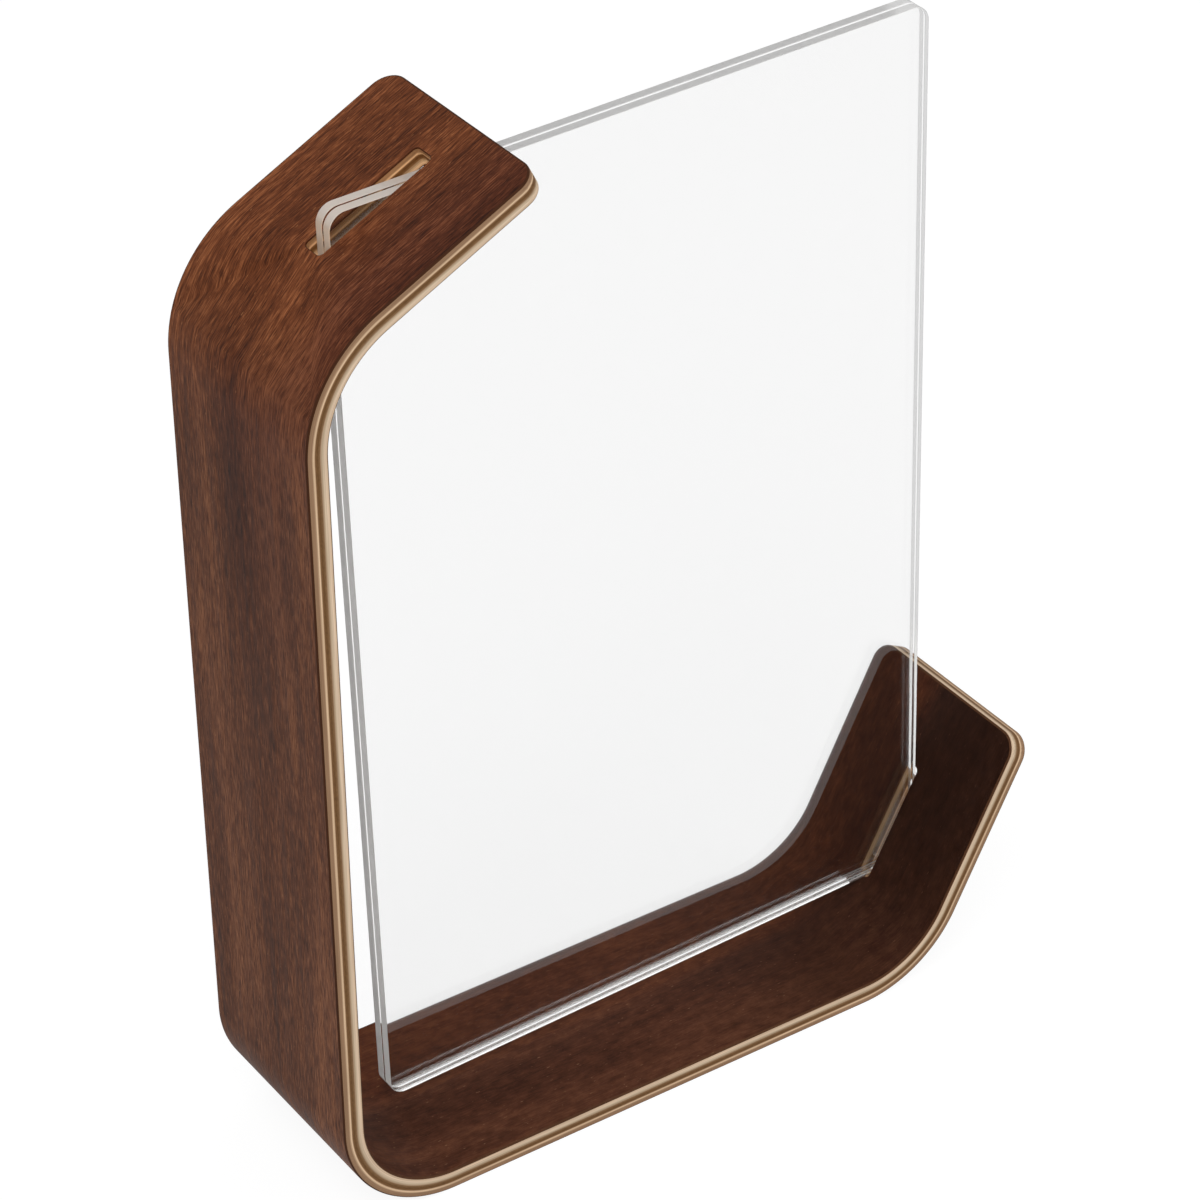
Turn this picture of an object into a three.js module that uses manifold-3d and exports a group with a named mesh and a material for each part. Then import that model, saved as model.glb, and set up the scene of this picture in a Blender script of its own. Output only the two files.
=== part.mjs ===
// Double-sided floating photo frame: one bent plywood ribbon and two clear sheets.
// Millimetres, +Z up. X runs across the picture, Y runs through it, and Z = 0 is the table.
import * as THREE from 'three';
import { mergeVertices } from 'three/addons/utils/BufferGeometryUtils.js';
import Module from 'manifold-3d';

// Clear sheets: a print is held between them and is seen from both sides.
const SHEET_WIDTH = 130.5;
const SHEET_HEIGHT = 200;
const SHEET_THICKNESS = 2;
const SHEET_CORNER_RADIUS = 3.5;
const SHEET_GAP = 0.5;

// The sheets' place in the ribbon: how far they stand inside the spine's foot and the base before
// they settle askew in their slots by the tilt, and how far the two gripped corners stand out
// beyond the outer faces of the arms.
const SPINE_TO_SHEETS = 15.2;
const BASE_TO_SHEETS = 6.1;
const SHEET_TILT_DEG = 2;
const UPPER_CORNER_OUT = 5.2;
const LOWER_CORNER_OUT = 5.95;

// Plywood ribbon: five plies, counted from its outer face to its inner face.
const RIBBON_WIDTH = 47.4;
const VENEER = 0.3;
const LIGHT_PLY = 1.42;
const CORE_PLY = 0.98;
const GLUE_LINE = 0.02;
const EDGE_RADIUS = 0.4;
const TIP_CORNER_RADIUS = 4.5;

// Spine, arms and bends. The spine leans outward at its top. A rise is the angle from the
// horizontal, a radius is that of the outer face, and a margin is the wood left between a slot
// and its arm's tip.
const SPINE_LEAN_DEG = 0.8;
const UPPER_ARM_RISE_DEG = 27.4;
const LOWER_ARM_RISE_DEG = 63.3;
const TOP_BEND_RADIUS = 28.3;
const HEEL_BEND_RADIUS = 24.9;
const TOE_BEND_RADIUS = 25.5;
const UPPER_TIP_MARGIN = 9.05;
const LOWER_TIP_MARGIN = 18.3;

// Each sheet can spread sideways by SPREAD to take a print, and then still clears the slots.
// The slots leave the sheets a little more room at the end toward the arm's tip.
const SPREAD = 0.2;
const SLOT_SIDE_CLEARANCE = 0.15;
const SLOT_END_CLEARANCE = 0.1;
const SLOT_TIP_ROOM = 0.2;
const SLOT_CORNER_RADIUS = 1;

// How finely round stretches are divided.
const STEPS_PER_BEND = 12;
const STEPS_PER_CORNER = 5;
const STEPS_PER_EDGE = 3;

const WALNUT = { color: 0x5c3e33, roughness: 0.55, metalness: 0 };
const LIGHT_WOOD = { color: 0xd2b496, roughness: 0.6, metalness: 0 };
const DARK_WOOD = { color: 0x8a6a4a, roughness: 0.65, metalness: 0 };
const CLEAR = { color: 0xf2f6f6, roughness: 0.05, metalness: 0, transparent: true, opacity: 0.25 };

const RIBBON_THICKNESS = 2 * VENEER + 2 * LIGHT_PLY + CORE_PLY + 4 * GLUE_LINE;
const PAIR_THICKNESS = 2 * SHEET_THICKNESS + SHEET_GAP;
const SLOT_WIDTH = PAIR_THICKNESS + 2 * (SPREAD + SLOT_SIDE_CLEARANCE);
const TILT = THREE.MathUtils.degToRad(SHEET_TILT_DEG);
const LEAN = THREE.MathUtils.degToRad(SPINE_LEAN_DEG);

const wasm = await Module();
wasm.setup();

// The side view is the plane y = 0. Its points and directions are Vector2 values holding x and z.
// The heel's sharp corner, where the outer faces of the spine and the base meet, is its origin.
const HEEL = new THREE.Vector2(0, 0);
const UP = new THREE.Vector2(0, 1);
const DOWN = new THREE.Vector2(0, -1);
const LEFT = new THREE.Vector2(-1, 0);
const RIGHT = new THREE.Vector2(1, 0);
const SPINE_UP = UP.clone().rotateAround(HEEL, LEAN);
const SPINE_DOWN = DOWN.clone().rotateAround(HEEL, LEAN);

function pointAt(start, direction, distance) {
  return start.clone().addScaledVector(direction, distance);
}

function into3D(flat, y = 0) {
  return new THREE.Vector3(flat.x, y, flat.y);
}

// The sheets' common centre in the side view, and their corners: side is -1 at the left and 1 at
// the right, level is -1 at the bottom and 1 at the top.
const sheetCentre = new THREE.Vector2(
  RIBBON_THICKNESS + SPINE_TO_SHEETS + SHEET_WIDTH / 2,
  RIBBON_THICKNESS + BASE_TO_SHEETS + SHEET_HEIGHT / 2
);

function sheetCorner(side, level) {
  const corner = new THREE.Vector2(side * SHEET_WIDTH / 2, level * SHEET_HEIGHT / 2);
  return corner.rotateAround(HEEL, TILT).add(sheetCentre);
}

// An arm's direction toward its tip, and the direction from its outer face into the wood.
// turn is -1 for the arm that hangs over the spine and 1 for the arm that rises from the base.
function armDirections(riseDeg, turn) {
  const rise = THREE.MathUtils.degToRad(riseDeg);
  const along = new THREE.Vector2(Math.cos(rise), Math.sin(rise));
  const inward = new THREE.Vector2(-turn * along.y, turn * along.x);
  return { along, inward };
}

// A bend of the outer face at a sharp corner: an arc that starts on the stretch running back to
// the upper tip (direction back) and ends on the stretch running on to the lower tip (onward).
function makeBend(corner, back, onward, radius) {
  const halfAngle = Math.acos(back.dot(onward)) / 2;
  const bisector = back.clone().add(onward).normalize();
  const centre = pointAt(corner, bisector, radius / Math.sin(halfAngle));
  const start = pointAt(corner, back, radius / Math.tan(halfAngle));
  const startAngle = Math.atan2(start.y - centre.y, start.x - centre.x);
  const turn = Math.PI - 2 * halfAngle;
  return { centre, radius, startAngle, turn };
}

// Where the line through a point along a direction meets the line through the heel along another.
function meet(point, direction, fromHeel) {
  return pointAt(point, direction, -point.cross(fromHeel) / direction.cross(fromHeel));
}

// The arms' outer faces lie where the gripped sheet corners stand out through them as stated.
// They meet the outer faces of the spine and of the base at the sharp corners.
const upperArm = armDirections(UPPER_ARM_RISE_DEG, -1);
const lowerArm = armDirections(LOWER_ARM_RISE_DEG, 1);
const onUpperArm = pointAt(sheetCorner(-1, 1), upperArm.inward, UPPER_CORNER_OUT);
const onLowerArm = pointAt(sheetCorner(1, -1), lowerArm.inward, LOWER_CORNER_OUT);
upperArm.corner = meet(onUpperArm, upperArm.along, SPINE_UP);
lowerArm.corner = meet(onLowerArm, lowerArm.along, RIGHT);
upperArm.bend = makeBend(upperArm.corner, upperArm.along, SPINE_DOWN, TOP_BEND_RADIUS);
lowerArm.bend = makeBend(lowerArm.corner, LEFT, lowerArm.along, TOE_BEND_RADIUS);
const heelBend = makeBend(HEEL, SPINE_UP, RIGHT, HEEL_BEND_RADIUS);

// How deep a side-view point lies under the outer face of an arm or of the bend it grows from.
function depthInArm(point, arm) {
  const fromCentre = point.clone().sub(arm.bend.centre);
  if (fromCentre.dot(arm.along) < 0) {
    return arm.bend.radius - fromCentre.length();
  }
  return point.clone().sub(arm.corner).dot(arm.inward);
}

// Where a sheet edge that leaves a gripped corner reaches a given depth, as a distance along the
// arm from its sharp corner. The depth grows all the way, so halving the interval finds it.
function edgeCrossing(arm, sheetPoint, direction, depth) {
  let near = 0;
  let far = SHEET_WIDTH / 2;
  while (far - near > 1e-6) {
    const middle = (near + far) / 2;
    if (depthInArm(pointAt(sheetPoint, direction, middle), arm) < depth) {
      near = middle;
    } else {
      far = middle;
    }
  }
  return pointAt(sheetPoint, direction, near).sub(arm.corner).dot(arm.along);
}

// A slot runs from the lowest to the highest crossing of the sheet's two edges with the wood.
// Its ends lie further out, so that the spread sheets clear its round corners as well.
function cutSlot(arm, sheetPoint, edgeDirections, tipMargin) {
  const crossings = [];
  for (const direction of edgeDirections) {
    const turned = direction.clone().rotateAround(HEEL, TILT);
    crossings.push(edgeCrossing(arm, sheetPoint, turned, 0));
    crossings.push(edgeCrossing(arm, sheetPoint, turned, RIBBON_THICKNESS));
  }
  const radius = SLOT_CORNER_RADIUS;
  const reach = PAIR_THICKNESS / 2 + SPREAD - (SLOT_WIDTH / 2 - radius);
  const endAllowance = radius - Math.sqrt(radius ** 2 - reach ** 2) + SLOT_END_CLEARANCE;
  arm.slotFrom = Math.min(...crossings) - endAllowance;
  arm.slotTo = Math.max(...crossings) + endAllowance + SLOT_TIP_ROOM;
  arm.length = arm.slotTo + tipMargin;
}

cutSlot(upperArm, sheetCorner(-1, 1), [DOWN, RIGHT], UPPER_TIP_MARGIN);
cutSlot(lowerArm, sheetCorner(1, -1), [LEFT, UP], LOWER_TIP_MARGIN);

// How far the ribbon's rounded edge draws back at a given depth under the outer face.
function edgeInset(depth) {
  const fromFace = Math.max(0, Math.min(depth, RIBBON_THICKNESS - depth));
  if (fromFace >= EDGE_RADIUS) {
    return 0;
  }
  return EDGE_RADIUS - Math.sqrt(EDGE_RADIUS ** 2 - (EDGE_RADIUS - fromFace) ** 2);
}

// The depths at which one ply needs points: its two faces and the steps of the rounded edges.
function plyDepths(from, to) {
  const depths = [from];
  for (let step = 1; step <= STEPS_PER_EDGE; step++) {
    const angle = step / STEPS_PER_EDGE * Math.PI / 2;
    const rounded = EDGE_RADIUS * (1 - Math.cos(angle));
    depths.push(rounded, RIBBON_THICKNESS - rounded);
  }
  depths.push(to);
  const room = 2 * GLUE_LINE;
  const isInside = (depth) => depth > from + room && depth < to - room;
  const kept = depths.filter((depth) => depth === from || depth === to || isInside(depth));
  return kept.sort((a, b) => a - b);
}

// The ribbon is a row of cross-sections. A station holds a point of the outer face, the direction
// into the wood and, where the tip's corners are rounded, the angle round that corner.
function tipStations(arm) {
  const point = pointAt(arm.corner, arm.along, arm.length);
  const stations = [];
  for (let step = 0; step <= STEPS_PER_CORNER; step++) {
    const cornerAngle = step / STEPS_PER_CORNER * Math.PI / 2;
    stations.push({ point, inward: arm.inward, back: arm.along.clone().negate(), cornerAngle });
  }
  return stations;
}

function bendStations(bend) {
  const { centre, radius, startAngle, turn } = bend;
  const curve = new THREE.EllipseCurve(
    centre.x, centre.y, radius, radius, startAngle, startAngle + turn, false
  );
  return curve.getPoints(STEPS_PER_BEND).map((point) => {
    return { point, inward: centre.clone().sub(point).normalize() };
  });
}

const stations = [
  ...tipStations(upperArm),
  ...bendStations(upperArm.bend),
  ...bendStations(heelBend),
  ...bendStations(lowerArm.bend),
  ...tipStations(lowerArm).reverse()
];

// The two side points of the ribbon at one station and depth, front one first.
function sidePoints(station, depth) {
  const inset = edgeInset(depth);
  const flat = pointAt(station.point, station.inward, depth);
  if (station.cornerAngle === undefined) {
    const half = RIBBON_WIDTH / 2 - inset;
    return [into3D(flat, -half), into3D(flat, half)];
  }
  const radius = TIP_CORNER_RADIUS - inset;
  const setBack = TIP_CORNER_RADIUS - radius * Math.cos(station.cornerAngle);
  const half = RIBBON_WIDTH / 2 - TIP_CORNER_RADIUS + radius * Math.sin(station.cornerAngle);
  flat.addScaledVector(station.back, setBack);
  return [into3D(flat, -half), into3D(flat, half)];
}

// The closed skin of one ply: rings of points joined from station to station, with flat tips.
function plyGeometry(from, to) {
  const depths = plyDepths(from, to);
  const ringSize = 2 * depths.length;
  const positions = [];
  for (const station of stations) {
    const pairs = depths.map((depth) => sidePoints(station, depth));
    const front = pairs.map((pair) => pair[0]);
    const rear = pairs.map((pair) => pair[1]).reverse();
    for (const point of [...front, ...rear]) {
      positions.push(point.x, point.y, point.z);
    }
  }
  const index = [];
  const addQuad = (a, b, c, d) => index.push(a, c, b, a, d, c);
  for (let ring = 0; ring < stations.length - 1; ring++) {
    const first = ring * ringSize;
    for (let i = 0; i < ringSize; i++) {
      const next = (i + 1) % ringSize;
      addQuad(first + i, first + next, first + ringSize + next, first + ringSize + i);
    }
  }
  const last = (stations.length - 1) * ringSize;
  for (let i = 0; i < depths.length - 1; i++) {
    const opposite = ringSize - 1 - i;
    addQuad(opposite, opposite - 1, i + 1, i);
    addQuad(last + i, last + i + 1, last + opposite - 1, last + opposite);
  }
  const geometry = new THREE.BufferGeometry();
  geometry.setAttribute('position', new THREE.Float32BufferAttribute(positions, 3));
  geometry.setIndex(index);
  return geometry;
}

// A rectangle with round corners, from one x to another and from -halfHeight to halfHeight.
function roundedRectangle(from, to, halfHeight, radius) {
  const top = halfHeight - radius;
  const shape = new THREE.Shape();
  shape.moveTo(from + radius, -halfHeight);
  shape.lineTo(to - radius, -halfHeight);
  shape.absarc(to - radius, -top, radius, -Math.PI / 2, 0, false);
  shape.lineTo(to, top);
  shape.absarc(to - radius, top, radius, 0, Math.PI / 2, false);
  shape.lineTo(from + radius, halfHeight);
  shape.absarc(from + radius, top, radius, Math.PI / 2, Math.PI, false);
  shape.lineTo(from, -top);
  shape.absarc(from + radius, -top, radius, Math.PI, Math.PI * 1.5, false);
  return shape;
}

// A slot's cutter: a round-cornered bar through the arm, square to it.
function slotCutter(arm) {
  const outline = roundedRectangle(arm.slotFrom, arm.slotTo, SLOT_WIDTH / 2, SLOT_CORNER_RADIUS);
  const depth = 3 * RIBBON_THICKNESS;
  const bar = new THREE.ExtrudeGeometry(outline, { depth, bevelEnabled: false, curveSegments: 5 });
  bar.translate(0, 0, -RIBBON_THICKNESS);
  const along = into3D(arm.along);
  const inward = into3D(arm.inward);
  const across = inward.clone().cross(along);
  const placing = new THREE.Matrix4().makeBasis(along, across, inward);
  placing.setPosition(into3D(arm.corner));
  return bar.applyMatrix4(placing);
}

function toManifold(geometry) {
  const plain = geometry.clone();
  plain.deleteAttribute('normal');
  plain.deleteAttribute('uv');
  const welded = mergeVertices(plain, 1e-5);
  const vertProperties = new Float32Array(welded.attributes.position.array);
  const triVerts = new Uint32Array(welded.index.array);
  return new wasm.Manifold(new wasm.Mesh({ numProp: 3, vertProperties, triVerts }));
}

function toGeometry(solid) {
  const { vertProperties, triVerts } = solid.getMesh();
  const geometry = new THREE.BufferGeometry();
  geometry.setAttribute('position', new THREE.BufferAttribute(vertProperties, 3));
  geometry.setIndex(new THREE.BufferAttribute(triVerts, 1));
  const faceted = geometry.toNonIndexed();
  faceted.computeVertexNormals();
  return faceted;
}

const cutters = [toManifold(slotCutter(upperArm)), toManifold(slotCutter(lowerArm))];

function makePly(name, from, thickness, finish) {
  let solid = toManifold(plyGeometry(from, from + thickness));
  for (const cutter of cutters) {
    solid = solid.subtract(cutter);
  }
  const mesh = new THREE.Mesh(toGeometry(solid), new THREE.MeshStandardMaterial(finish));
  mesh.name = name;
  return mesh;
}

// A clear sheet, drawn upright round its own centre, with its front face at y = front.
function makeSheet(name, front) {
  const x = SHEET_WIDTH / 2;
  const outline = roundedRectangle(-x, x, SHEET_HEIGHT / 2, SHEET_CORNER_RADIUS);
  const settings = { depth: SHEET_THICKNESS, bevelEnabled: false, curveSegments: 6 };
  const geometry = new THREE.ExtrudeGeometry(outline, settings);
  geometry.rotateX(Math.PI / 2);
  const mesh = new THREE.Mesh(geometry, new THREE.MeshStandardMaterial(CLEAR));
  mesh.name = name;
  mesh.position.y = front + SHEET_THICKNESS;
  return mesh;
}

function makeRibbon() {
  const plies = [
    ['outer_walnut_veneer', VENEER, WALNUT],
    ['outer_light_ply', LIGHT_PLY, LIGHT_WOOD],
    ['core_cross_ply', CORE_PLY, DARK_WOOD],
    ['inner_light_ply', LIGHT_PLY, LIGHT_WOOD],
    ['inner_walnut_veneer', VENEER, WALNUT]
  ];
  const ribbon = new THREE.Group();
  let from = 0;
  for (const [name, thickness, finish] of plies) {
    ribbon.add(makePly(name, from, thickness, finish));
    from += thickness + GLUE_LINE;
  }
  return ribbon;
}

function makeSheets() {
  const sheets = new THREE.Group();
  sheets.position.set(sheetCentre.x, 0, sheetCentre.y);
  sheets.rotation.y = -TILT;
  sheets.add(makeSheet('front_sheet', -PAIR_THICKNESS / 2));
  sheets.add(makeSheet('rear_sheet', SHEET_GAP / 2));
  return sheets;
}

// The whole frame, moved sideways so that its middle stands over the origin.
const frame = new THREE.Group();
frame.add(makeRibbon(), makeSheets());
const extent = new THREE.Box3().setFromObject(frame, true);
frame.position.x = -(extent.min.x + extent.max.x) / 2;

export default frame;
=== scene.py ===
"""Looks of the double-sided floating frame: bent walnut plywood and two clear sheets."""

import math

import bpy
import numpy as np
from mathutils import Matrix, Vector
from mathutils.geometry import delaunay_2d_cdt


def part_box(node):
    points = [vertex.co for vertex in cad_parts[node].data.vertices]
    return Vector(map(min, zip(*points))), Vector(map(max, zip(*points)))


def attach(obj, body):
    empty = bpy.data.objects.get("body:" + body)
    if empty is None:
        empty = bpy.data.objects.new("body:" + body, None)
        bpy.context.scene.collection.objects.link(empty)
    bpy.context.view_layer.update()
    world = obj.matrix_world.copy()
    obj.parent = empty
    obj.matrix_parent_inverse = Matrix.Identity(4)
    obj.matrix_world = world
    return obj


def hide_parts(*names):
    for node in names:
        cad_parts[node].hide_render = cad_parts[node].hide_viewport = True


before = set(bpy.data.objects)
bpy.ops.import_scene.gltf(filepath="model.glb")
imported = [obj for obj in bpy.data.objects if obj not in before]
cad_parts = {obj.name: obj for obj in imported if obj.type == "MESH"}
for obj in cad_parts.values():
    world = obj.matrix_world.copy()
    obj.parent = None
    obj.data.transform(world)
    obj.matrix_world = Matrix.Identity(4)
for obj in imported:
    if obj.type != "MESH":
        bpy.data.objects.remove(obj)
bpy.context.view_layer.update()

MM = 0.001

# Sizes in millimetres, the same as the solids'
SHEET_WIDTH = 130.5
SHEET_HEIGHT = 200.0
SHEET_THICKNESS = 2.0
SHEET_CORNER_RADIUS = 3.5
SHEET_GAP = 0.5
SPINE_TO_SHEETS = 15.2
BASE_TO_SHEETS = 6.1
SHEET_TILT = math.radians(2.0)
UPPER_CORNER_OUT = 5.2
LOWER_CORNER_OUT = 5.95

RIBBON_WIDTH = 47.4
VENEER = 0.3
LIGHT_PLY = 1.42
CORE_PLY = 0.98
GLUE_LINE = 0.02
EDGE_RADIUS = 0.4
TIP_CORNER_RADIUS = 4.5
SPINE_LEAN = math.radians(0.8)
UPPER_RISE = math.radians(27.4)
LOWER_RISE = math.radians(63.3)
TOP_BEND_RADIUS = 28.3
HEEL_BEND_RADIUS = 24.9
TOE_BEND_RADIUS = 25.5
UPPER_TIP_MARGIN = 9.05
LOWER_TIP_MARGIN = 18.3

SPREAD = 0.2
SLOT_SIDE_CLEARANCE = 0.15
SLOT_END_CLEARANCE = 0.1
SLOT_TIP_ROOM = 0.2
SLOT_CORNER_RADIUS = 1.0

RIBBON_THICKNESS = 2 * VENEER + 2 * LIGHT_PLY + CORE_PLY + 4 * GLUE_LINE
PAIR_THICKNESS = 2 * SHEET_THICKNESS + SHEET_GAP
SLOT_WIDTH = PAIR_THICKNESS + 2 * (SPREAD + SLOT_SIDE_CLEARANCE)

# Depths of the plies' faces. The looks of two plies meet in the middle of their glue line
FIRST_GLUE = VENEER + GLUE_LINE / 2
SECOND_GLUE = FIRST_GLUE + LIGHT_PLY + GLUE_LINE
PLY_FACES = [
    0.0,
    FIRST_GLUE,
    SECOND_GLUE,
    RIBBON_THICKNESS - SECOND_GLUE,
    RIBBON_THICKNESS - FIRST_GLUE,
    RIBBON_THICKNESS,
]

# Fine roundings that only the looks have
SHEET_EDGE_RADIUS = 0.12
SLOT_EDGE_RADIUS = 0.15

# How finely round stretches are divided, and how closely a length is found
BEND_STEP = math.radians(2.5)
CORNER_STEPS = 10
EDGE_STEPS = 6
THINNEST_STEP = 0.02
TOLERANCE = 1e-6


# The side view is the plane y = 0. Its points are arrays holding x and z. The heel's sharp corner,
# where the outer faces of the spine and the base meet, is its origin.
def flat(x, z):
    return np.array([x, z], float)


def rotated(v, angle):
    c, s = math.cos(angle), math.sin(angle)
    return flat(c * v[0] - s * v[1], s * v[0] + c * v[1])


def unit(v):
    return v / np.linalg.norm(v)


def cross(a, b):
    return a[0] * b[1] - a[1] * b[0]


sheet_centre = flat(
    RIBBON_THICKNESS + SPINE_TO_SHEETS + SHEET_WIDTH / 2,
    RIBBON_THICKNESS + BASE_TO_SHEETS + SHEET_HEIGHT / 2,
)


def sheet_corner(side, level):
    corner = flat(side * SHEET_WIDTH / 2, level * SHEET_HEIGHT / 2)
    return sheet_centre + rotated(corner, SHEET_TILT)


class Bend:
    """An arc of the outer face that rounds a sharp corner of the ribbon's side view."""

    def __init__(self, corner, back, onward, radius):
        half = math.acos(float(np.dot(back, onward))) / 2
        self.radius = radius
        self.tangent = radius / math.tan(half)
        self.centre = corner + unit(back + onward) * radius / math.sin(half)
        self.turn = math.pi - 2 * half
        self.start = corner + back * self.tangent
        self.end = corner + onward * self.tangent
        self.length = radius * self.turn


class Arm:
    """A slotted arm: its outer face starts at a sharp corner and runs along to its tip."""

    def __init__(self, rise, turn, sheet_point, corner_out, from_heel):
        self.along = flat(math.cos(rise), math.sin(rise))
        self.inward = flat(-turn * self.along[1], turn * self.along[0])
        on_arm = sheet_point + self.inward * corner_out
        back = cross(on_arm, from_heel) / cross(self.along, from_heel)
        self.corner = on_arm - self.along * back

    def depth(self, p):
        from_centre = p - self.bend.centre
        if np.dot(from_centre, self.along) < 0:
            return self.bend.radius - np.linalg.norm(from_centre)
        return float(np.dot(p - self.corner, self.inward))

    def cut_slot(self, sheet_point, directions, tip_margin):
        crossings = []
        for direction in directions:
            way = rotated(direction, SHEET_TILT)
            for depth in (0.0, RIBBON_THICKNESS):
                near, far = 0.0, SHEET_WIDTH / 2
                while far - near > TOLERANCE:
                    middle = (near + far) / 2
                    if self.depth(sheet_point + way * middle) < depth:
                        near = middle
                    else:
                        far = middle
                crossings.append(
                    float(np.dot(sheet_point + way * near - self.corner, self.along))
                )
        reach = PAIR_THICKNESS / 2 + SPREAD - (SLOT_WIDTH / 2 - SLOT_CORNER_RADIUS)
        corner_room = SLOT_CORNER_RADIUS - math.sqrt(SLOT_CORNER_RADIUS**2 - reach**2)
        self.slot_from = min(crossings) - corner_room - SLOT_END_CLEARANCE
        self.slot_to = max(crossings) + corner_room + SLOT_END_CLEARANCE + SLOT_TIP_ROOM
        self.length = self.slot_to + tip_margin


UP, DOWN, LEFT, RIGHT = flat(0, 1), flat(0, -1), flat(-1, 0), flat(1, 0)
SPINE_UP = rotated(UP, SPINE_LEAN)
upper = Arm(UPPER_RISE, -1, sheet_corner(-1, 1), UPPER_CORNER_OUT, SPINE_UP)
lower = Arm(LOWER_RISE, 1, sheet_corner(1, -1), LOWER_CORNER_OUT, RIGHT)
upper.bend = Bend(upper.corner, upper.along, -SPINE_UP, TOP_BEND_RADIUS)
lower.bend = Bend(lower.corner, LEFT, lower.along, TOE_BEND_RADIUS)
heel = Bend(flat(0, 0), SPINE_UP, RIGHT, HEEL_BEND_RADIUS)
upper.cut_slot(sheet_corner(-1, 1), [DOWN, RIGHT], UPPER_TIP_MARGIN)
lower.cut_slot(sheet_corner(1, -1), [LEFT, UP], LOWER_TIP_MARGIN)


# The run is the distance along the ribbon's outer face, from the upper tip to the lower tip. A
# stretch holds its kind, the run at its start, its length, its start or its bend, and its direction.
def ribbon_stretches():
    upper_tip = upper.corner + upper.along * upper.length
    lower_tip = lower.corner + lower.along * lower.length
    stretches = []
    run = 0.0
    points = [upper_tip, upper.bend, heel, lower.bend, lower_tip]
    for here, there in zip(points, points[1:]):
        start = here.end if isinstance(here, Bend) else here
        end = there.start if isinstance(there, Bend) else there
        length = float(np.linalg.norm(end - start))
        stretches.append(("straight", run, length, start, unit(end - start)))
        run += length
        if isinstance(there, Bend):
            stretches.append(("bend", run, there.length, there, None))
            run += there.length
    return stretches, run


STRETCHES, RIBBON_LENGTH = ribbon_stretches()


def bend_runs(bend):
    """Runs at which a bend starts and ends."""
    for _, start_run, length, thing, _ in STRETCHES:
        if thing is bend:
            return start_run, start_run + length


UPPER_BEND_RUN = bend_runs(upper.bend)[0]
LOWER_BEND_END_RUN = bend_runs(lower.bend)[1]


def outer_face(run):
    """Point of the outer face at a run, the direction along the ribbon and the one into it."""
    for kind, start_run, length, thing, along in STRETCHES:
        if run <= start_run + length + TOLERANCE or start_run + length >= RIBBON_LENGTH:
            break
    if kind == "straight":
        inward = flat(-along[1], along[0])
        return thing + along * (run - start_run), along, inward
    outward = rotated(unit(thing.start - thing.centre), (run - start_run) / thing.radius)
    return thing.centre + outward * thing.radius, flat(-outward[1], outward[0]), -outward


def on_ribbon(run, y, depth):
    point, _, inward = outer_face(run)
    p = point + inward * depth
    return (p[0], y, p[1])


def slot_run(arm, distance, depth):
    """Run at which a cut square to the arm, at a distance from its corner, meets a depth."""
    beyond = distance - arm.bend.tangent
    if beyond < 0:
        angle = math.asin(beyond / (arm.bend.radius - depth))
        beyond = angle * arm.bend.radius
    if arm is upper:
        return UPPER_BEND_RUN - beyond
    return LOWER_BEND_END_RUN + beyond


# Loops are closed rows of (run, y, normal along the run, normal along y) in the ribbon's plan.
def outline_loop(inset):
    stations = []
    for kind, start_run, length, thing, _ in STRETCHES:
        if kind == "bend":
            steps = max(1, round(thing.turn / BEND_STEP))
            stations += [start_run + length * i / steps for i in range(steps + 1)]
    half = RIBBON_WIDTH / 2
    r = TIP_CORNER_RADIUS
    corners = [
        (r, -half + r, math.pi),
        (RIBBON_LENGTH - r, -half + r, 1.5 * math.pi),
        (RIBBON_LENGTH - r, half - r, 0.0),
        (r, half - r, 0.5 * math.pi),
    ]
    loop = []
    for index, (run, y, angle) in enumerate(corners):
        for i in range(CORNER_STEPS + 1):
            a = angle + i / CORNER_STEPS * math.pi / 2
            c, s = math.cos(a), math.sin(a)
            loop.append((run + (r - inset) * c, y + (r - inset) * s, c, s))
        if index == 0:
            loop += [(u, -half + inset, 0.0, -1.0) for u in stations]
        if index == 2:
            loop += [(u, half - inset, 0.0, 1.0) for u in reversed(stations)]
    return loop


def slot_loop(arm, inset, depth):
    radius = SLOT_CORNER_RADIUS + inset
    sense = -1 if arm is upper else 1
    near = arm.slot_from + SLOT_CORNER_RADIUS
    far = arm.slot_to - SLOT_CORNER_RADIUS
    side = SLOT_WIDTH / 2 - SLOT_CORNER_RADIUS
    corners = [(far, -side), (far, side), (near, side), (near, -side)]
    loop = []
    for quarter, (distance, y) in enumerate(corners):
        for i in range(CORNER_STEPS + 1):
            a = (quarter - 1 + i / CORNER_STEPS) * math.pi / 2
            c, s = math.cos(a), math.sin(a)
            run = slot_run(arm, distance + radius * c, depth)
            loop.append((run, y + radius * s, -c * sense, -s))
    return loop[::-1] if sense > 0 else loop


def rounding(depth, thickness, radius):
    """How far a rounded edge draws back at a depth, and how much its skin turns to the face."""
    from_face = max(0.0, min(depth, thickness - depth))
    if from_face >= radius:
        return 0.0, 0.0
    lean = (radius - from_face) / radius
    inset = radius * (1 - math.sqrt(1 - lean * lean))
    return inset, (lean if depth < thickness / 2 else -lean)


def depth_steps(start, end, thickness, radii):
    depths = {start, end}
    for radius in radii:
        for i in range(1, EDGE_STEPS + 1):
            d = radius * (1 - math.cos(i / EDGE_STEPS * math.pi / 2))
            for depth in (d, thickness - d):
                if start + THINNEST_STEP < depth < end - THINNEST_STEP:
                    depths.add(depth)
    return sorted(depths)


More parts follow.
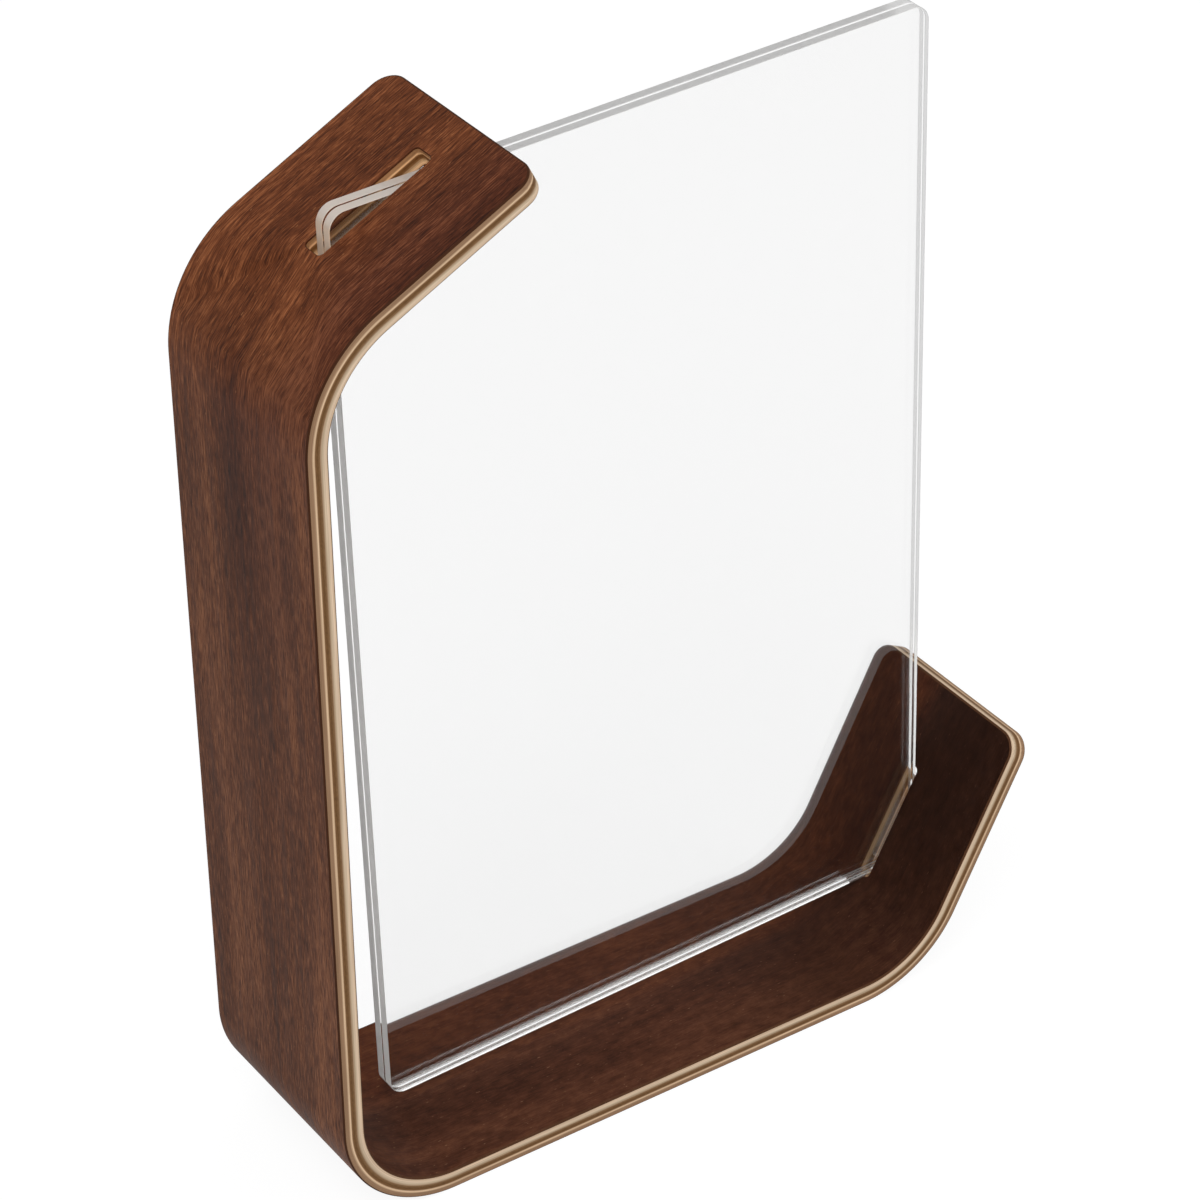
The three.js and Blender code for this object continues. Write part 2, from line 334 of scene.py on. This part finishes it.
class Skin:
    """Collects a piece's points, faces and their normals, and makes the mesh from them."""

    def __init__(self):
        self.points, self.plan, self.faces, self.normals, self.kinds = [], [], [], [], []

    def add(self, point, plan):
        self.points.append(Vector(point) * MM)
        self.plan.append(Vector(plan) * MM)
        return len(self.points) - 1

    def face(self, corners, normals, kind):
        a, b, c = [self.points[i] for i in corners[:3]]
        if (b - a).cross(c - a).dot(sum(normals, Vector())) < 0:
            corners, normals = corners[::-1], normals[::-1]
        self.faces.append(corners)
        self.normals += normals
        self.kinds.append(kind)

    def build(self, name, materials, placing):
        mesh = bpy.data.meshes.new(name)
        mesh.from_pydata(self.points, [], self.faces)
        plan = mesh.attributes.new("plan", "FLOAT_VECTOR", "POINT")
        plan.data.foreach_set("vector", [c for v in self.plan for c in v])
        for material in materials:
            mesh.materials.append(material)
        mesh.polygons.foreach_set("material_index", self.kinds)
        mesh.polygons.foreach_set("use_smooth", [True] * len(self.faces))
        mesh.normals_split_custom_set([Vector(n).normalized() for n in self.normals])
        mesh.transform(placing)
        mesh.update()
        piece = bpy.data.objects.new(name, mesh)
        bpy.context.scene.collection.objects.link(piece)
        return piece


def triangulated(loops):
    """Triangles over the plan inside the first loop and outside the others."""
    points, edges = [], []
    for loop in loops:
        first = len(points)
        points += [Vector((p[0], p[1])) for p in loop]
        edges += [(first + i, first + (i + 1) % len(loop)) for i in range(len(loop))]
    found = delaunay_2d_cdt(points, edges, [], 0, TOLERANCE)
    corners, triangles, sources = found[0], found[2], found[3]
    if len(corners) != len(points):
        raise RuntimeError("the plan's outlines cross")
    back = [source[0] for source in sources]
    kept = []
    for triangle in triangles:
        a, b, c = [corners[i] for i in triangle]
        middle = (a + b + c) / 3
        if is_inside(middle, loops[0]) and not any(is_inside(middle, h) for h in loops[1:]):
            kept.append([back[i] for i in triangle])
    return kept


def is_inside(p, loop):
    inside = False
    for a, b in zip(loop, loop[1:] + loop[:1]):
        if (a[1] > p.y) != (b[1] > p.y):
            if p.x < (b[0] - a[0]) * (p.y - a[1]) / (b[1] - a[1]) + a[0]:
                inside = not inside
    return inside


FACE, EDGE = 0, 1


def make_skin(depths, loops_at, place, directions, thickness, radii):
    """Closed skin of a plate: rings of its outlines at each depth, capped by its two faces.

    directions gives, for a place along the plate, the ways along it, across it and out of the
    face at depth 0."""
    skin = Skin()
    rings = []
    for depth in depths:
        ring = []
        for loop, radius in zip(loops_at(depth), radii):
            _, lean = rounding(depth, thickness, radius)
            side = math.sqrt(1 - lean * lean)
            row = []
            for u, v, normal_u, normal_v in loop:
                along, across, out = directions(u)
                normal = (along * normal_u + across * normal_v) * side + out * lean
                row.append((skin.add(place(u, v, depth), (u, v, depth)), normal, out))
            ring.append(row)
        rings.append(ring)
    for above, below in zip(rings, rings[1:]):
        for row, next_row in zip(above, below):
            for i in range(len(row)):
                j = (i + 1) % len(row)
                quad = [row[i], next_row[i], next_row[j], row[j]]
                skin.face([q[0] for q in quad], [q[1] for q in quad], EDGE)
    triangles = triangulated(loops_at(depths[0]))
    for ring, sign in ((rings[0], 1), (rings[-1], -1)):
        corners = [corner for row in ring for corner in row]
        for triangle in triangles:
            picked = [corners[i] for i in triangle]
            skin.face([q[0] for q in picked], [q[2] * sign for q in picked], FACE)
    return skin


# The sheets' centre stands where it does in the CAD model
sheet_low, sheet_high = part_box("front_sheet")
to_row = Matrix.Translation(((sheet_low.x + sheet_high.x) / 2 - sheet_centre[0] * MM, 0, 0))


def ribbon_directions(run):
    _, along, inward = outer_face(run)
    return Vector((along[0], 0, along[1])), Vector((0, 1, 0)), Vector((-inward[0], 0, -inward[1]))


def ribbon_loops(depth):
    slot_inset = rounding(depth, RIBBON_THICKNESS, SLOT_EDGE_RADIUS)[0]
    return [
        outline_loop(rounding(depth, RIBBON_THICKNESS, EDGE_RADIUS)[0]),
        slot_loop(upper, slot_inset, depth),
        slot_loop(lower, slot_inset, depth),
    ]


def make_ply(name, layer, face_material, edge_material):
    depths = depth_steps(
        PLY_FACES[layer], PLY_FACES[layer + 1], RIBBON_THICKNESS, (EDGE_RADIUS, SLOT_EDGE_RADIUS)
    )
    radii = (EDGE_RADIUS, SLOT_EDGE_RADIUS, SLOT_EDGE_RADIUS)
    skin = make_skin(
        depths, ribbon_loops, on_ribbon, ribbon_directions, RIBBON_THICKNESS, radii
    )
    ply = skin.build(name + "_looks", [face_material, edge_material], to_row)
    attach(ply, "ribbon")
    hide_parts(name)
    return ply


def sheet_loops(depth):
    inset = rounding(depth, SHEET_THICKNESS, SHEET_EDGE_RADIUS)[0]
    r = SHEET_CORNER_RADIUS
    loop = []
    for quarter, (side, level) in enumerate(((1, -1), (1, 1), (-1, 1), (-1, -1))):
        x = side * (SHEET_WIDTH / 2 - r)
        z = level * (SHEET_HEIGHT / 2 - r)
        for i in range(CORNER_STEPS + 1):
            a = (quarter - 1 + i / CORNER_STEPS) * math.pi / 2
            c, s = math.cos(a), math.sin(a)
            loop.append((x + (r - inset) * c, z + (r - inset) * s, c, s))
    return [loop]


def sheet_directions(_):
    return Vector((1, 0, 0)), Vector((0, 0, 1)), Vector((0, -1, 0))


def make_sheet(name, body, front, face_material, edge_material):
    depths = depth_steps(0.0, SHEET_THICKNESS, SHEET_THICKNESS, (SHEET_EDGE_RADIUS,))
    skin = make_skin(
        depths,
        sheet_loops,
        lambda x, z, depth: (x, front + depth, z),
        sheet_directions,
        SHEET_THICKNESS,
        (SHEET_EDGE_RADIUS,),
    )
    centre = Matrix.Translation((sheet_centre[0] * MM, 0, sheet_centre[1] * MM))
    placing = to_row @ centre @ Matrix.Rotation(-SHEET_TILT, 4, "Y")
    sheet = skin.build(name + "_looks", [face_material, edge_material], placing)
    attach(sheet, body)
    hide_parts(name)
    return sheet


# Colours
def colour(tint):
    """Linear colour of screen values from 0 to 255; one number is a grey."""
    if not isinstance(tint, tuple):
        tint = (tint, tint, tint)
    linear = []
    for value in tint:
        v = value / 255
        linear.append(v / 12.92 if v <= 0.04045 else ((v + 0.055) / 1.055) ** 2.4)
    return (*linear, 1.0)


# Screen tones of the walnut: dark, middle and light, then its flecks and the tone of its painted
# shade
OUTER_TONES = ((40, 19, 10), (87, 51, 34), (134, 90, 66))
INNER_TONES = ((48, 24, 14), (74, 42, 28), (98, 60, 41))
FLECK_TONE = (160, 116, 86)
PAINTED_SHADE_TONE = (22, 9, 5)

# Shares of bands, streaks, fibres and mottle in the walnut's figure
OUTER_SHARES = (0.26, 0.2, 0.42, 0.12)
INNER_SHARES = (0.34, 0.12, 0.22, 0.32)

# What the walnut's tone is multiplied by in places: an overall tint, painted light, painted shade
# and a darker strip
# Painted light on the inner veneer's rear half, behind the sheets
REAR_PAINTED_LIGHT_TINT = (1.75, 1.5, 1.25, 1.0)
OUTER_TINT = (0.98, 0.92, 0.82, 1.0)
# Painted light on the upper arm, brighter and redder
ARM_PAINTED_LIGHT_TINT = (1.47, 1.29, 1.05, 1.0)
# Painted shade on the upper arm's front half
ARM_FRONT_PAINTED_SHADE_TINT = (0.6, 0.57, 0.68, 1.0)
DARK_STRIP_TINT = (0.66, 0.6, 0.62, 1.0)

# Where the walnut's tone changes, in millimetres along the run and across the ribbon
ARM_TO_SPINE = (45, 85)
ARM_FRONT_TO_REAR = (-15, -3)
DARK_STRIP_START, DARK_STRIP_END = (52, 66), (95, 135)
DARK_STRIP_FRONT, DARK_STRIP_REAR = (-20, -13), (3, 10)
FRONT_TO_REAR = (-1, 5)
TOWARD_TOE = (318, 352)
UP_LOWER_ARM = (370, 400)

# How far the walnut takes on the painted shade at the toe, on the lower arm, and of that at the rear
TOE_PAINTED_SHADE = 0.5
LOWER_ARM_PAINTED_SHADE = 0.26
REAR_PAINTED_SHADE = 0.5

# Screen tones of the plies' edges at depths in millimetres under the outer face
WALNUT_EDGE = [
    (0.0, (62, 32, 12)),
    (4.5, (84, 54, 34)),
]
OUTER_PLY_EDGE = [
    (0.31, (146, 114, 86)),
    (1.1, (154, 122, 94)),
    (1.5, (232, 200, 164)),
    (1.75, (156, 122, 90)),
]
CORE_PLY_EDGE = [
    (1.75, (124, 90, 58)),
    (2.2, (106, 74, 42)),
    (2.75, (134, 102, 70)),
]
INNER_PLY_EDGE = [
    (2.75, (150, 120, 90)),
    (3.3, (208, 186, 158)),
    (3.75, (224, 198, 170)),
    (4.19, (206, 178, 148)),
]
FIBRE_TONE = (84, 60, 38)
# Painted light on the walls of the slots
PAINTED_SLOT_WALL_LIGHT_TINT = (1.4, 1.2, 0.95, 1.0)

# The routed walls of the slots lie nearer the middle than this, and further from the tips
ROUTED_SIDE = (3.5, 4.5)
ROUTED_FROM_TIP = (5, 7)

# Clear acrylic
ACRYLIC_IOR = 1.49
ACRYLIC_CLEAR = (0.95, 0.95, 0.95, 1.0)
GROUND_WHITE = (1.0, 0.985, 0.96, 1.0)
FROST_WHITE = (1.0, 0.98, 0.96, 1.0)
# Painted reflection of the wood's warm colour, on the cut edge near the upper arm
PAINTED_WOOD_REFLECTION_TINT = (1.0, 0.82, 0.66, 1.0)
# Painted shade on the cut edge's right side, above the grip
PAINTED_SHADE_AT_RIGHT = (0.62, 0.62, 0.62, 1.0)
MIRROR_TONE = (255, 249, 240)

# Millimetres inward from a sheet's sides, and a height over its middle, between which its cut
# edge changes
AROUND_CORNER = (1, 3)
GRIP_HEIGHT = (-60, -40)
WOOD_FROM_LEFT = (16, 32)
WOOD_FROM_TOP = (8, 22)
RIM_OVER_FOOT = (0.45, 0.6)
RIM_SHARE = 0.6
# Share of the painted reflection of the wood that is diffuse
PAINTED_WOOD_REFLECTION_SHARE = 0.2


# Materials
class Nodes:
    """A short way to write the nodes of a material or a world."""

    def __init__(self, owner):
        owner.use_nodes = True
        self.tree = owner.node_tree

    def add(self, kind, inputs=None, **settings):
        node = self.tree.nodes.new(kind)
        for key, value in settings.items():
            setattr(node, key, value)
        for key, value in (inputs or {}).items():
            self.set(node, key, value)
        return node

    def set(self, node, key, value):
        if isinstance(value, bpy.types.NodeSocket):
            self.tree.links.new(value, node.inputs[key])
        else:
            node.inputs[key].default_value = value

    def maths(self, operation, first, *others):
        for other in others:
            node = self.add("ShaderNodeMath", {0: first, 1: other}, operation=operation)
            first = node.outputs[0]
        return first

    def sum(self, *values):
        return self.maths("ADD", *values)

    def product(self, *values):
        return self.maths("MULTIPLY", *values)

    def largest(self, *values):
        return self.maths("MAXIMUM", *values)

    def span(self, value, low, high, to_low=0.0, to_high=1.0):
        node = self.add(
            "ShaderNodeMapRange",
            {"Value": value, "From Min": low, "From Max": high, "To Min": to_low, "To Max": to_high},
        )
        return node.outputs["Result"]

    def opposite(self, share):
        return self.span(share, 0.0, 1.0, 1.0, 0.0)

    def rise(self, place, low, high):
        """0 up to a place, 1 from another on. Both are in millimetres, low first."""
        return self.span(place, low * MM, high * MM)

    def fall(self, place, low, high):
        """1 up to a place, 0 from another on. Both are in millimetres, low first."""
        return self.span(place, low * MM, high * MM, 1.0, 0.0)


class MaterialNodes(Nodes):
    """The nodes of a new material, whose surface is first its Principled shader."""

    def __init__(self, name):
        self.material = bpy.data.materials.new(name)
        super().__init__(self.material)
        self.shader = self.tree.nodes["Principled BSDF"]
        self.surface = self.shader.outputs["BSDF"]

    def plan(self, run_scale, across_scale, depth_scale=0.0, shift=0.0):
        """The piece's plan coordinates in metres, times a scale each.

        A shift moves the pattern, so that two materials don't show the same one."""
        plan = self.add("ShaderNodeAttribute", attribute_name="plan")
        mapping = self.add(
            "ShaderNodeMapping",
            {
                "Vector": plan.outputs["Vector"],
                "Scale": (run_scale, across_scale, depth_scale),
                "Location": (shift, shift * 0.7, 0.0),
            },
        )
        return mapping.outputs["Vector"]

    def places(self):
        """The three plan coordinates: run, across and depth, or x, z and depth on a sheet."""
        parts = self.add("ShaderNodeSeparateXYZ", {"Vector": self.plan(1.0, 1.0, 1.0)}).outputs
        return parts["X"], parts["Y"], parts["Z"]

    def noise(self, vector, detail=3.0, roughness=0.55, distortion=0.0):
        node = self.add(
            "ShaderNodeTexNoise",
            {
                "Vector": vector,
                "Scale": 1.0,
                "Detail": detail,
                "Roughness": roughness,
                "Distortion": distortion,
            },
        )
        return node.outputs["Fac"]

    def ramp(self, value, stops):
        node = self.add("ShaderNodeValToRGB", {"Fac": value})
        elements = node.color_ramp.elements
        elements[0].position, elements[0].color = stops[0][0], colour(stops[0][1])
        elements[1].position, elements[1].color = stops[-1][0], colour(stops[-1][1])
        for position, tint in stops[1:-1]:
            elements.new(position).color = colour(tint)
        return node.outputs["Color"]

    def mix(self, factor, a, b, blend="MIX"):
        node = self.add("ShaderNodeMix", data_type="RGBA", blend_type=blend)
        factor_socket, a_socket, b_socket, colour_output = 0, 6, 7, 2
        self.set(node, factor_socket, factor)
        self.set(node, a_socket, a)
        self.set(node, b_socket, b)
        return node.outputs[colour_output]

    def multiply(self, factor, tone, tint):
        return self.mix(factor, tone, tint, "MULTIPLY")

    def cover(self, kind, share, tint):
        """Covers a share of the surface with another kind of shader."""
        other = self.add(kind, {"Color": tint})
        both = self.add("ShaderNodeMixShader", {0: share, 1: self.surface, 2: other.outputs["BSDF"]})
        self.surface = both.outputs["Shader"]
        self.tree.links.new(self.surface, self.tree.nodes["Material Output"].inputs["Surface"])

    def bump(self, height, distance, strength):
        node = self.add(
            "ShaderNodeBump", {"Height": height, "Distance": distance, "Strength": strength}
        )
        self.set(self.shader, "Normal", node.outputs["Normal"])


def walnut(name, tones, shares, shaded, pore_depth, shift):
    """Oiled walnut veneer: broad bands, streaks, fine fibres, a mottle, pores and pale flecks.

    shares says how much of the figure is bands, streaks, fibres and mottle. shaded paints light and
    shade into the plain tone at each place of the veneer. pore_depth says how dark the pores are."""
    n = MaterialNodes(name)
    dark, middle, light = tones
    bands = n.noise(n.plan(8.0, 60.0, shift=shift), detail=2.0, distortion=0.8)
    streaks = n.noise(n.plan(28.0, 760.0, shift=shift + 3), detail=3.0, roughness=0.6)
    fibres = n.noise(n.plan(260.0, 3500.0, shift=shift + 5), detail=2.0, roughness=0.65)
    mottle = n.noise(n.plan(260.0, 420.0, shift=shift + 7), detail=3.0, roughness=0.7)
    layers = (bands, streaks, fibres, mottle)
    figure = n.sum(*[n.span(layer, 0.3, 0.7, 0.0, share) for layer, share in zip(layers, shares)])
    tone = n.ramp(figure, [(0.2, dark), (0.5, middle), (0.8, light)])
    pores = n.noise(n.plan(300.0, 4000.0, shift=shift + 9), detail=2.0, roughness=0.6)
    tone = n.mix(n.span(pores, 0.56, 0.68, 0.0, pore_depth), tone, colour(dark))
    flecks = n.noise(n.plan(700.0, 2600.0, shift=shift + 13), detail=1.0)
    tone = n.mix(n.span(flecks, 0.7, 0.8, 0.0, 0.5), tone, colour(FLECK_TONE))
    n.set(n.shader, "Base Color", shaded(n, tone))
    n.set(n.shader, "Roughness", n.span(streaks, 0.3, 0.7, 0.5, 0.62))
    n.set(n.shader, "Specular IOR Level", 0.06)
    n.bump(n.span(fibres, 0.2, 0.8), 0.03 * MM, 0.4)
    return n.material


def outer_painted_shading(n, tone):
    """The outer veneer has painted light on the upper arm, brighter and redder, and painted shade on
    that arm's front half. It is darker again in a strip from the top bend to the upper spine."""
    run, across, _ = n.places()
    arm = n.fall(run, *ARM_TO_SPINE)
    arm_front = n.product(arm, n.fall(across, *ARM_FRONT_TO_REAR))
    dark_strip = n.product(
        n.rise(run, *DARK_STRIP_START),
        n.fall(run, *DARK_STRIP_END),
        n.fall(across, *DARK_STRIP_REAR),
        n.rise(across, *DARK_STRIP_FRONT),
    )
    tone = n.multiply(1.0, tone, OUTER_TINT)
    # Painted light on the upper arm
    tone = n.multiply(arm, tone, ARM_PAINTED_LIGHT_TINT)
    # Painted shade on the upper arm's front half
    tone = n.multiply(arm_front, tone, ARM_FRONT_PAINTED_SHADE_TINT)
    return n.multiply(dark_strip, tone, DARK_STRIP_TINT)


def inner_painted_shading(n, tone):
    """The inner veneer has painted light behind the sheets, and painted shade toward the toe and
    again up the lower arm, half as much behind the sheets."""
    run, across, _ = n.places()
    rear = n.rise(across, *FRONT_TO_REAR)
    toe = n.product(n.rise(run, *TOWARD_TOE), TOE_PAINTED_SHADE)
    arm = n.product(n.rise(run, *UP_LOWER_ARM), LOWER_ARM_PAINTED_SHADE)
    # Painted shade toward the toe and up the lower arm, half as much at the rear
    dark = n.product(n.sum(toe, arm), n.span(rear, 0.0, 1.0, 1.0, REAR_PAINTED_SHADE))
    # Painted light on the rear half
    tone = n.multiply(rear, tone, REAR_PAINTED_LIGHT_TINT)
    return n.mix(dark, tone, colour(PAINTED_SHADE_TONE))


# Scales of a ply's pattern along the run, per metre: of long fibres, and of cut fibres' ends
LONG_GRAIN = 55.0
END_GRAIN = 900.0


def ply_edge(name, stops, run_scale):
    """Sanded edge of a ply, with painted light where the slots' cutter went through it."""
    n = MaterialNodes(name)
    run, across, depth = n.places()
    through = n.span(depth, 0.0, RIBBON_THICKNESS * MM)
    tone = n.ramp(through, [(d / RIBBON_THICKNESS, tint) for d, tint in stops])
    fibres = n.noise(n.plan(run_scale, 3500.0, 5000.0), detail=3.0)
    tone = n.multiply(n.span(fibres, 0.35, 0.65, 0.0, 0.3), tone, colour(FIBRE_TONE))
    from_middle = n.add("ShaderNodeMath", {0: across}, operation="ABSOLUTE").outputs[0]
    tip_end, slot_end = ROUTED_FROM_TIP
    painted_slot_wall_light = n.product(
        n.fall(from_middle, *ROUTED_SIDE),
        n.rise(run, tip_end, slot_end),
        n.fall(run, RIBBON_LENGTH - slot_end, RIBBON_LENGTH - tip_end),
    )
    specks = n.noise(n.plan(run_scale * 5, 4000.0, 4000.0, 4), detail=2.0)
    # Painted light on the walls of the slots
    n.set(n.shader, "Base Color", n.multiply(painted_slot_wall_light, tone, PAINTED_SLOT_WALL_LIGHT_TINT))
    n.set(n.shader, "Roughness", n.span(specks, 0.2, 0.8, 0.55, 0.7))
    n.set(n.shader, "Specular IOR Level", 0.1)
    n.bump(fibres, 0.04 * MM, 0.3)
    return n.material


def clear_face(name):
    """Polished face of the clear acrylic. The rear one has a narrow ground rim along its foot."""
    n = MaterialNodes(name)
    _, height, depth = n.places()
    smudges = n.noise(n.plan(25.0, 25.0), detail=2.0)
    n.set(n.shader, "Base Color", ACRYLIC_CLEAR)
    n.set(n.shader, "Transmission Weight", 1.0)
    n.set(n.shader, "IOR", ACRYLIC_IOR)
    n.set(n.shader, "Roughness", n.span(smudges, 0.3, 0.7, 0.0, 0.01))
    from_foot = n.sum(height, SHEET_HEIGHT / 2 * MM)
    rim = n.product(n.fall(from_foot, *RIM_OVER_FOOT), RIM_SHARE)
    rear = n.rise(depth, 0, SHEET_THICKNESS)
    n.cover("ShaderNodeBsdfDiffuse", n.product(rim, rear), GROUND_WHITE)
    return n.material


def cut_edge(name):
    """Cut edge of the clear acrylic.

    Its sides are frosted by fine marks, with painted shade on the right side above the grip. Its
    foot, and its right side where the lower arm grips it, mirror the light inside the sheet. At the
    corner that stands out of the upper arm it has a painted reflection of the wood's warm colour."""
    n = MaterialNodes(name)
    across, height, _ = n.places()
    half_width, half_height = SHEET_WIDTH / 2 * MM, SHEET_HEIGHT / 2 * MM
    from_left, from_foot = n.sum(across, half_width), n.sum(height, half_height)
    from_right = n.sum(n.product(across, -1.0), half_width)
    from_top = n.sum(n.product(height, -1.0), half_height)
    right = n.fall(from_right, *AROUND_CORNER)
    top = n.fall(from_top, *AROUND_CORNER)
    foot = n.fall(from_foot, *AROUND_CORNER)
    gripped = n.product(right, n.fall(height, *GRIP_HEIGHT))
    # Painted reflection of the wood, at the corner by the upper arm
    painted_wood_reflection = n.product(n.fall(from_left, *WOOD_FROM_LEFT), n.fall(from_top, *WOOD_FROM_TOP))
    mirror = n.largest(gripped, foot)
    marks = n.noise(n.plan(700.0, 700.0, 40.0), detail=2.0)
    frost = n.ramp(marks, [(0.3, 240), (0.7, 250)])
    n.set(n.shader, "Base Color", n.mix(mirror, frost, colour(MIRROR_TONE)))
    n.set(n.shader, "IOR", ACRYLIC_IOR)
    n.set(n.shader, "Transmission Weight", n.span(mirror, 0.0, 1.0, 0.4, 1.0))
    n.set(n.shader, "Roughness", n.span(n.sum(foot, mirror), 0.0, 2.0, 0.2, 0.0))
    frosted = n.product(
        n.span(top, 0.0, 1.0, 0.95, 0.45), n.span(mirror, 0.0, 1.0, 1.0, 0.1), n.opposite(foot)
    )
    tint = n.mix(painted_wood_reflection, FROST_WHITE, PAINTED_WOOD_REFLECTION_TINT)
    # Painted shade on the right side above the grip
    tint = n.mix(n.product(right, n.opposite(gripped)), tint, PAINTED_SHADE_AT_RIGHT)
    n.cover("ShaderNodeBsdfTranslucent", frosted, tint)
    # Painted reflection of the wood, also as a diffuse share
    n.cover("ShaderNodeBsdfDiffuse", n.product(painted_wood_reflection, PAINTED_WOOD_REFLECTION_SHARE), tint)
    return n.material


outer_walnut = walnut(
    "outer_walnut_face", OUTER_TONES, OUTER_SHARES, outer_painted_shading, pore_depth=0.75, shift=1.0
)
inner_walnut = walnut(
    "inner_walnut_face", INNER_TONES, INNER_SHARES, inner_painted_shading, pore_depth=0.3, shift=21.0
)
walnut_edge = ply_edge("walnut_edge", WALNUT_EDGE, LONG_GRAIN)
outer_edge = ply_edge("outer_ply_edge", OUTER_PLY_EDGE, LONG_GRAIN)
core_edge = ply_edge("core_ply_edge", CORE_PLY_EDGE, END_GRAIN)
inner_edge = ply_edge("inner_ply_edge", INNER_PLY_EDGE, LONG_GRAIN)
sheet_face = clear_face("acrylic_face")
sheet_edge = cut_edge("acrylic_cut_edge")

make_ply("outer_walnut_veneer", 0, outer_walnut, walnut_edge)
make_ply("outer_light_ply", 1, outer_edge, outer_edge)
make_ply("core_cross_ply", 2, core_edge, core_edge)
make_ply("inner_light_ply", 3, inner_edge, inner_edge)
make_ply("inner_walnut_veneer", 4, inner_walnut, walnut_edge)
make_sheet("front_sheet", "front_clear_sheet", -PAIR_THICKNESS / 2, sheet_face, sheet_edge)
make_sheet("rear_sheet", "rear_clear_sheet", SHEET_GAP / 2, sheet_face, sheet_edge)


# Floor, light and camera
FLOOR_REACH = 6.0
FLOOR_BELOW_FRAME = 0.00005
FLOOR_WHITE = (0.8, 0.8, 0.8, 1.0)
FLOOR_SHADE = (0.14, 0.14, 0.14, 1.0)
FLOOR_GLOW = 0.9
WHITE = (1.0, 1.0, 1.0, 1.0)
WORLD_LIGHT = 0.55
WORLD_SEEN = 1.0
FRAME_MIDDLE = Vector((0, 0, 0.1))


def make_floor():
    """A floor that is seen as white with the frame's shadow, and lights the frame as pale."""
    mesh = bpy.data.meshes.new("floor")
    corners = [(-1, -1), (1, -1), (1, 1), (-1, 1)]
    points = [(x * FLOOR_REACH, y * FLOOR_REACH, -FLOOR_BELOW_FRAME) for x, y in corners]
    mesh.from_pydata(points, [], [(0, 1, 2, 3)])
    floor = bpy.data.objects.new("floor", mesh)
    bpy.context.scene.collection.objects.link(floor)
    n = MaterialNodes("floor_white")
    n.tree.nodes.remove(n.shader)
    lit = n.add("ShaderNodeBsdfDiffuse", {"Color": FLOOR_WHITE})
    shaded = n.add("ShaderNodeBsdfDiffuse", {"Color": FLOOR_SHADE})
    glow = n.add("ShaderNodeEmission", {"Color": WHITE, "Strength": FLOOR_GLOW})
    seen = n.add("ShaderNodeAddShader", {0: shaded.outputs[0], 1: glow.outputs[0]})
    choose = n.add(
        "ShaderNodeMixShader", {0: seen_rays(n), 1: lit.outputs[0], 2: seen.outputs[0]}
    )
    n.set(n.tree.nodes["Material Output"], "Surface", choose.outputs[0])
    mesh.materials.append(n.material)


def seen_rays(n):
    """1 for rays that show the background: straight, in a reflection or through the sheets."""
    path = n.add("ShaderNodeLightPath").outputs
    return n.largest(path["Is Camera Ray"], path["Is Glossy Ray"], path["Is Transmission Ray"])


def make_world():
    world = bpy.data.worlds.new("studio")
    bpy.context.scene.world = world
    n = Nodes(world)
    background = n.tree.nodes["Background"]
    n.set(background, "Color", WHITE)
    n.set(background, "Strength", n.span(seen_rays(n), 0.0, 1.0, WORLD_LIGHT, WORLD_SEEN))


def soft_light(name, place, size, power):
    """A square soft box aimed at the middle of the frame."""
    light = bpy.data.lights.new(name, "AREA")
    light.shape = "SQUARE"
    light.size = size
    light.energy = power
    lamp = bpy.data.objects.new(name, light)
    lamp.location = place
    toward = FRAME_MIDDLE - Vector(place)
    lamp.rotation_euler = toward.to_track_quat("-Z", "Y").to_euler()
    bpy.context.scene.collection.objects.link(lamp)


# The photograph's camera: what it looks at and from how far, in metres, and its lens and sensor in
# millimetres
LOOK_AT = Vector((-0.00627, 0.0009, 0.10524))
CAMERA_AZIMUTH = math.radians(-34.555)
CAMERA_ELEVATION = math.radians(33.789)
CAMERA_ROLL = math.radians(0.101)
CAMERA_DISTANCE = 0.8308
LENS = 130.25
SENSOR = 36.0
NEAREST_SEEN = 0.05


def make_camera():
    data = bpy.data.cameras.new("camera")
    data.sensor_width = SENSOR
    data.lens = LENS
    data.clip_start = NEAREST_SEEN
    camera = bpy.data.objects.new("camera", data)
    a, e = CAMERA_AZIMUTH, CAMERA_ELEVATION
    back = Vector((math.sin(a) * math.cos(e), -math.cos(a) * math.cos(e), math.sin(e)))
    camera.location = LOOK_AT + back * CAMERA_DISTANCE
    turn = (-back).to_track_quat("-Z", "Y").to_matrix().to_4x4()
    roll = Matrix.Rotation(CAMERA_ROLL, 4, "Z")
    camera.rotation_euler = (turn @ roll).to_euler()
    bpy.context.scene.collection.objects.link(camera)
    bpy.context.scene.camera = camera


make_floor()
make_world()
soft_light("key_light", place=(-0.7, -0.7, 1.3), size=0.9, power=12.0)
soft_light("fill_light", place=(0.9, -0.9, 0.9), size=0.9, power=5.0)
make_camera()
bpy.context.scene.view_settings.view_transform = "Standard"
